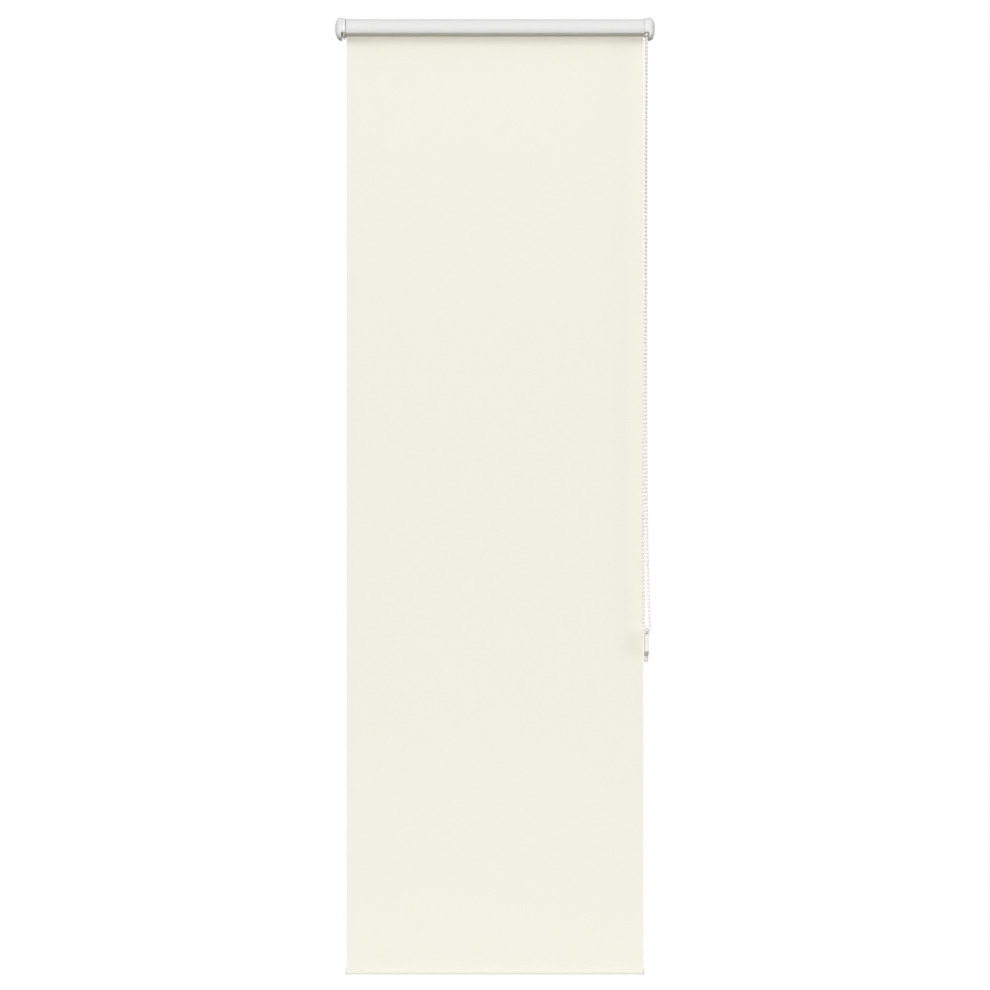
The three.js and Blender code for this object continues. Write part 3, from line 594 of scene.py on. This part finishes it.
def makeHem():
    # the pocket: down the front of the rail, round its foot and up the back, then a flap welded to the panel
    low, high = (np.array(c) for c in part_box("hem_sleeve"))
    middle = (low[2] + high[2]) / 2
    a = np.radians(np.linspace(90, 450, 90))
    y = cloth["y"] + hem["bulge"] * np.sign(np.cos(a)) * np.abs(np.cos(a)) ** hem["square"]
    z = middle + (high[2] - middle) * np.sign(np.sin(a)) * np.abs(np.sin(a)) ** hem["tall"]
    pocket = np.stack([y, z], 1)
    pocket[-4:, 0] = np.linspace(pocket[-5, 0], cloth["y"] + cloth["flapGap"] * cloth["thickness"], 5)[1:]
    flap = np.stack([np.full(12, cloth["y"] + cloth["flapGap"] * cloth["thickness"]),
                     np.linspace(high[2] + hem["flapStart"], high[2] + cloth["flapHeight"], 12)], 1)
    return clothBand("fabricHem", np.vstack([pocket, flap]), high[0], finishes["fabric"], 40)


panel = makePanel()
outerTurn = makeLead()
innerTurns = makeWound()
hemBand = makeHem()
settle(panel, "head", ["fabric_panel"])
settle(outerTurn, "head")
settle(innerTurns, "roller", ["fabric_wrap"])
settle(hemBand, "bar", ["hem_sleeve"])
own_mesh(panel)
print("fabric made")


def roundedRibbon(line, thickness, steps=6):
    # the thickened line with a half round at each of its two ends
    outline, _ = ribbon(line, thickness)
    half = len(line)
    lip = []
    for tip, before, first in ((line[-1], line[-2], outline[half - 1]), (line[0], line[1], outline[-1])):
        ahead = (tip - before) / np.linalg.norm(tip - before)
        a = math.pi * np.arange(1, steps)[:, None] / steps
        lip.append(tip + (first - tip) * np.cos(a) + ahead * thickness / 2 * np.sin(a))
    return np.vstack([outline[:half], lip[0], outline[half:], lip[1]])


def finished(mesh, name, slotName, body, replaces=(), angle=35):
    # a whole piece from its mesh: faces outward, shaded, given its finish and put on its body
    piece = addObject(name, outward(mesh), finishes[slotName])
    sharpen(piece, angle)
    return settle(piece, body, replaces)


# cassette cover: rear hook, level top and a front that sweeps under the roll
cover = {
    "radius": 0.0153,
    "wall": 0.001,
    "lip": 207,  # degrees, where the front stops
    "leftGap": 0.0005,  # added to the gap at the left hood
    "hookY": -0.0045,
    "hookLow": 0.0131,
    "bend": 0.0009,
}


def makeCover():
    low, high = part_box("head_cover")
    bend, top = cover["bend"], cover["radius"]
    corner = arcPoints((cover["hookY"] - bend, top - bend), bend, 0, 90, 8)
    flat = np.linspace((cover["hookY"] - bend, top), (axisY, top), 6)[1:-1]
    sweep = arcPoints((axisY, 0), top, 90, cover["lip"], 72)
    hook = np.linspace((cover["hookY"], cover["hookLow"]), corner[0], 4)[:-1]
    outline = roundedRibbon(np.vstack([hook, corner, flat, sweep]), cover["wall"])
    points, faces = carried(onX(outline, np.linspace(low[0] + cover["leftGap"], high[0], 9)))
    return finished(meshFrom("headCover", points, faces), "headCover", "white_paint", "head", ["head_cover"])


# outer caps: domed shells
cap = {
    "low": 0.2403,
    "high": 0.25,
    "wall": 0.001,
    "domeDepth": 0.0086,
    "domeShare": 0.78,  # how far the outline shrinks towards the middle of the end face
    "top": 0.0185,
    "bottom": -0.0159,
    "back": -0.0016,
    "frontRadius": 0.01,
    "backRadius": 0.002,
    "edge": 0.00025,
    "slotDepth": 0.0046,  # the slot at the back that the bracket's arm goes through
    "slotHalf": 0.0113,
    "slotHigh": 0.2447,
}


def capOutline(inset):
    # the cap seen from its end, drawn in by the inset
    back, bend = cap["back"] - inset, max(cap["backRadius"] - inset, 0.0004)
    front = axisY - cap["top"]
    return np.vstack([
        arcPoints((back - bend, cap["top"] - inset - bend), bend, 0, 90, 8),
        arcPoints((axisY, 0), cap["top"] - inset, 90, 180, 48),
        arcPoints((front + cap["frontRadius"], cap["bottom"] + cap["frontRadius"]),
                  cap["frontRadius"] - inset, 180, 270, 28),
        arcPoints((back - bend, cap["bottom"] + inset + bend), bend, 270, 360, 8),
    ])


def capRings(inset, low, high):
    # straight side, then a quarter ellipse: x = high - depth (1 - sin a), shrunk by share (1 - cos a)
    outline = capOutline(inset)
    middle = (outline.min(0) + outline.max(0)) / 2
    a = np.linspace(0, math.pi / 2, 25)
    shrink = 1 - cap["domeShare"] * (1 - np.cos(a))[:, None, None]
    dome = onX(middle + (outline - middle) * shrink, high - cap["domeDepth"] * (1 - np.sin(a)))
    return np.concatenate([onX(outline, low), dome])


def carve(piece, *cutters):
    # cuts closed shapes out of a piece and keeps the result as its mesh
    for cutter in cutters:
        tool = piece.modifiers.new("cut", "BOOLEAN")
        tool.object, tool.solver = cutter, "EXACT"
    bpy.context.view_layer.update()
    graph = bpy.context.evaluated_depsgraph_get()
    mesh = bpy.data.meshes.new_from_object(piece.evaluated_get(graph))
    piece.modifiers.clear()
    old, piece.data = piece.data, mesh
    bpy.data.meshes.remove(old)
    for cutter in cutters:
        bpy.data.meshes.remove(cutter.data)
    return piece


def block(low, high):
    corners = np.array([[x, y, z] for x in (low[0], high[0]) for y in (low[1], high[1])
                        for z in (low[2], high[2])])
    faces = [[0, 1, 3, 2], [4, 6, 7, 5], [0, 4, 5, 1], [2, 3, 7, 6], [0, 2, 6, 4], [1, 5, 7, 3]]
    return addObject("block", outward(meshFrom("block", corners, faces, False)))


def makeCap(side, turn):
    edge = cap["edge"]
    rim = onX(capOutline(edge), cap["low"])
    rings = np.concatenate([rim, capRings(0, cap["low"] + edge, cap["high"])])
    inside = capRings(cap["wall"], cap["low"], cap["high"] - cap["wall"])[::-1]
    count, around = rings.shape[:2]
    points = np.vstack([rings.reshape(-1, 3), inside.reshape(-1, 3)]) * (turn, 1, 1)
    outerFaces = gridFaces(count, around, wrapColumns=True).tolist()
    innerFaces = gridFaces(len(inside), around, wrapColumns=True, start=count * around).tolist()
    total = (count + len(inside)) * around
    joint = [[i, (i + 1) % around, total - around + (i + 1) % around, total - around + i]
             for i in range(around)]
    ends = [list(range((count - 1) * around, count * around)),
            list(range(count * around, (count + 1) * around))]
    mesh = outward(meshFrom(f"{side}OuterCap", points, outerFaces + innerFaces + joint + ends))
    piece = addObject(f"{side}OuterCap", mesh, finishes["white_plastic"])
    past = cap["wall"]  # the cutter stands this far out of the cap
    reach = sorted((turn * (cap["low"] - past), turn * cap["slotHigh"]))
    carve(piece, block((reach[0], -cap["slotDepth"], -cap["slotHalf"]), (reach[1], past, cap["slotHalf"])))
    sharpen(piece, 32)
    return settle(piece, "head", [f"{side}_outer_cap"])


makeCover()
makeCap("right", 1)
makeCap("left", -1)
print("cover and caps made")


# chain wheel: a pocket for each bead between two rims, and the finger that turns the drive plug
wheel = {
    "low": 0.2342,
    "high": 0.24,
    "rim": 0.00098,  # beyond the pitch circle
    "pocket": 0.0024,
    "slot": 0.0008,  # half width of the cord's slot
    "slotDepth": 0.0007,  # inside the pitch circle
    "bore": 0.0039,
    "edgeDrop": 0.0004,  # the rims round off by this at their outer edges
    "edgeRun": 0.0001,
    "columns": 45,
    "perPocket": 20,
    "finger": (0.0048, 0.0056, 40, 140, 0.2123, 0.2347),  # inner, outer, first and last degrees, low, high
}


def makeWheel():
    # r = the lowest of rim, slot and pocket; pocket r = p cos t - sqrt(R^2 - dx^2 - p^2 sin^2 t),
    # with t measured from the middle of the nearest pocket
    x = np.linspace(wheel["low"], wheel["high"], wheel["columns"])
    step = 2 * math.pi / chain["pockets"]
    a = np.linspace(0, 2 * math.pi, chain["pockets"] * wheel["perPocket"], endpoint=False)[:, None]
    t = (a % step) - step / 2
    dx = (x - chain["wheelX"])[None]
    pitch = chain["radius"]
    fromEdge = np.minimum(x - wheel["low"], wheel["high"] - x)
    rim = pitch + wheel["rim"] - wheel["edgeDrop"] * np.exp(-fromEdge / wheel["edgeRun"])
    inside = wheel["pocket"] ** 2 - dx ** 2 - (pitch * np.sin(t)) ** 2
    pocket = np.where(inside > 0, pitch * np.cos(t) - np.sqrt(np.maximum(inside, 0)), np.inf)
    slot = np.where(np.abs(dx) < wheel["slot"], pitch - wheel["slotDepth"], np.inf)
    r = np.minimum(np.minimum(rim, pocket), slot)
    bore = np.full((len(a), 1), wheel["bore"])
    r = np.hstack([r, bore, bore])
    across = np.broadcast_to(np.concatenate([x, [x[-1], x[0]]]), r.shape)
    rings = np.stack([across, axisY + r * np.cos(a), r * np.sin(a)], 2)
    faces = gridFaces(*r.shape, wrapRows=True, wrapColumns=True).tolist()
    inner, outer, start, stop, low, high = wheel["finger"]
    sector = np.vstack([arcPoints((axisY, 0), outer, start, stop, 24),
                        arcPoints((axisY, 0), inner, stop, start, 24)])
    fingerPoints, fingerFaces = carried(onX(sector, (low, high)))
    faces += [[c + r.size for c in face] for face in fingerFaces]
    points = np.vstack([rings.reshape(-1, 3), fingerPoints])
    mesh = meshFrom("chainWheel", points, faces)
    return finished(mesh, "chainWheel", "nylon", "roller", ["chain_wheel"], 42)


# the idle pin's spring, built at one length; the real one shortens as the pin slides in
coil = {
    "radius": 0.0031,
    "wire": 0.00078,
    "turns": 6,
    "low": -0.22805,
    "high": -0.20945,
    "closing": 0.4,  # how much tighter the turns lie at both ends
    "travel": 0.0045,
}


def makeCoil():
    t = np.linspace(0, 1, coil["turns"] * 40 + 1)
    a = 2 * math.pi * coil["turns"] * t
    # a helix whose pitch is the mean one times 1 - closing cos(2 pi t), least at both ends
    ease = t - coil["closing"] * np.sin(2 * math.pi * t) / (2 * math.pi)
    x = coil["low"] + coil["wire"] / 2 + (coil["high"] - coil["low"] - coil["wire"]) * ease
    line = np.stack([x, axisY + coil["radius"] * np.cos(a), coil["radius"] * np.sin(a)], 1)
    points, faces = tubeAlong(line, coil["wire"] / 2, 10)
    piece = finished(meshFrom("idleSpring", points, faces), "idleSpring", "steel", "roller", ["idle_spring"])
    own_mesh(piece)
    return piece


slotOf = {part["node"]: part["material_slot"] for part in frame["record"]["subparts"]}
bodyOf = {node: body for body, nodes in frame["record"]["behaviour"]["bodies"].items() for node in nodes}

# frame nodes shown with softened edges: [name, edge width]
softened = {
    "left_bracket": ("leftBracket", 0.00015),
    "right_bracket": ("rightBracket", 0.00015),
    "left_side_plate": ("leftSidePlate", 0.0002),
    "right_side_plate": ("rightSidePlate", 0.0002),
    "left_lock_screw": ("leftLockScrew", 0.0001),
    "right_lock_screw": ("rightLockScrew", 0.0001),
    "core_screw": ("coreScrew", 0.0001),
    "core_washer": ("coreWasher", 0.0001),
    "idle_plug": ("idlePlug", 0.0002),
    "idle_bush": ("idleBush", 0.00012),
    "drive_plug": ("drivePlug", 0.00012),
    "tensioner": ("tensioner", 0.0003),
    "left_rail_cap": ("leftRailCap", 0.0002),
    "right_rail_cap": ("rightRailCap", 0.0002),
}


def soften(node, name, width):
    # the node's own shape, welded, with its flat triangles merged and a live bevel on its edges
    source = frame["nodes"][node].data
    points = np.empty(len(source.vertices) * 3, np.float32)
    source.vertices.foreach_get("co", points)
    corners = np.empty(len(source.loops), np.int32)
    source.loops.foreach_get("vertex_index", corners)
    mesh = meshFrom(name, points, corners.reshape(-1, 3).tolist())
    work = bmesh.new()
    work.from_mesh(mesh)
    bmesh.ops.remove_doubles(work, verts=work.verts, dist=2e-6)
    bmesh.ops.dissolve_limit(work, angle_limit=math.radians(0.5), verts=work.verts, edges=work.edges)
    bmesh.ops.recalc_face_normals(work, faces=work.faces)
    work.to_mesh(mesh)
    work.free()
    piece = addObject(name, mesh, finishes[slotOf[node]])
    sharpen(piece, 30)
    edges = piece.modifiers.new("edges", "BEVEL")
    edges.width, edges.segments = width, 2
    edges.limit_method, edges.angle_limit = "ANGLE", math.radians(38)
    return settle(piece, bodyOf[node], [node])


makeWheel()
makeCoil()
for node, (name, width) in softened.items():
    soften(node, name, width)
for node in ("roller_tube", "fabric_spline", "bottom_rail", "clutch_core", "retaining_clip", "brake_spring_1",
             "brake_spring_2", "idle_pin"):
    slots = frame["nodes"][node].data.materials
    slots.clear()
    slots.append(finishes[slotOf[node]])
print("wheel, spring and fittings made")


# soft light from in front, both sides and above, under a white sky
studio = {
    "sky": (0.13, 0.5),  # below and above the horizon
    "skyBlend": (-0.3, 0.05),  # where one turns into the other, as the height of the direction
    # [strength, degrees above the horizon, degrees to the side, size in degrees]
    "suns": {"front": (1.25, 5.5, -3, 7), "left": (0.65, 12, -64, 25), "right": (0.65, 12, 64, 25)},
    "upper": {"watts": 4.5, "place": (0, -1.5, 0.8), "size": (1.2, 0.5)},  # aimed at the head
    "floorDrop": 0.6,
    "floorX": (-1.6, 1.6),
    "floorY": (-1.8, 1.1),
    "floor": (0.8, 0.8, 0.79),
}


def makeStudio():
    world = bpy.data.worlds.new("sky")
    world.use_nodes = True
    scene.world = world
    tree = world.node_tree
    tree.nodes.clear()
    heading = addNode(tree, "SeparateXYZ", Vector=addNode(tree, "TexCoord").outputs["Generated"])
    (below, above), (low, high) = studio["sky"], studio["skyBlend"]
    strength = addNode(tree, "MapRange", Value=heading.outputs["Z"], From_Min=low, From_Max=high,
                       To_Min=below, To_Max=above).outputs[0]
    lit = addNode(tree, "Background", Color=(1, 1, 1, 1), Strength=strength)
    seen = addNode(tree, "Background", Color=(1, 1, 1, 1), Strength=1.0)
    path = addNode(tree, "LightPath")
    mixed = addNode(tree, "MixShader", n0=path.outputs["Is Camera Ray"], n1=lit.outputs[0],
                    n2=seen.outputs[0])
    addNode(tree, "OutputWorld", Surface=mixed.outputs[0])
    for name, (strength, height, side, size) in studio["suns"].items():
        light = bpy.data.lights.new(name, "SUN")
        light.energy, light.angle = strength, math.radians(size)
        lamp = bpy.data.objects.new(name, light)
        lamp.rotation_euler = (math.radians(90 - height), 0, math.radians(side))
        scene.collection.objects.link(lamp)
    upper = studio["upper"]
    light = bpy.data.lights.new("upper", "AREA")
    light.energy, light.shape = upper["watts"], "RECTANGLE"
    light.size, light.size_y = upper["size"]
    lamp = bpy.data.objects.new("upper", light)
    lamp.location = upper["place"]
    lamp.rotation_euler = (-Vector(upper["place"])).to_track_quat("-Z", "Y").to_euler()
    lamp.visible_camera = False
    scene.collection.objects.link(lamp)
    z = footZ - studio["floorDrop"]
    (left, right), (front, back) = studio["floorX"], studio["floorY"]
    corners = [(left, front, z), (right, front, z), (right, back, z), (left, back, z)]
    floor = addObject("floor", meshFrom("floor", corners, [[0, 1, 2, 3]], False))
    material, tree, shader = newMaterial("paleFloor", 0.8)
    place = addNode(tree, "TexCoord").outputs["Object"]
    grain = placeGroup(tree, surfaceGrain, Vector=place, Grain=60.0, Mottle=1.5)
    tone = blendColour(tree, grain["Mottle"], studio["floor"], tuple(0.96 * c for c in studio["floor"]))
    tree.links.new(tone, shader.inputs["Base Color"])
    floor.data.materials.append(material)


makeStudio()
scene.view_settings.view_transform = "Standard"
print("studio made")
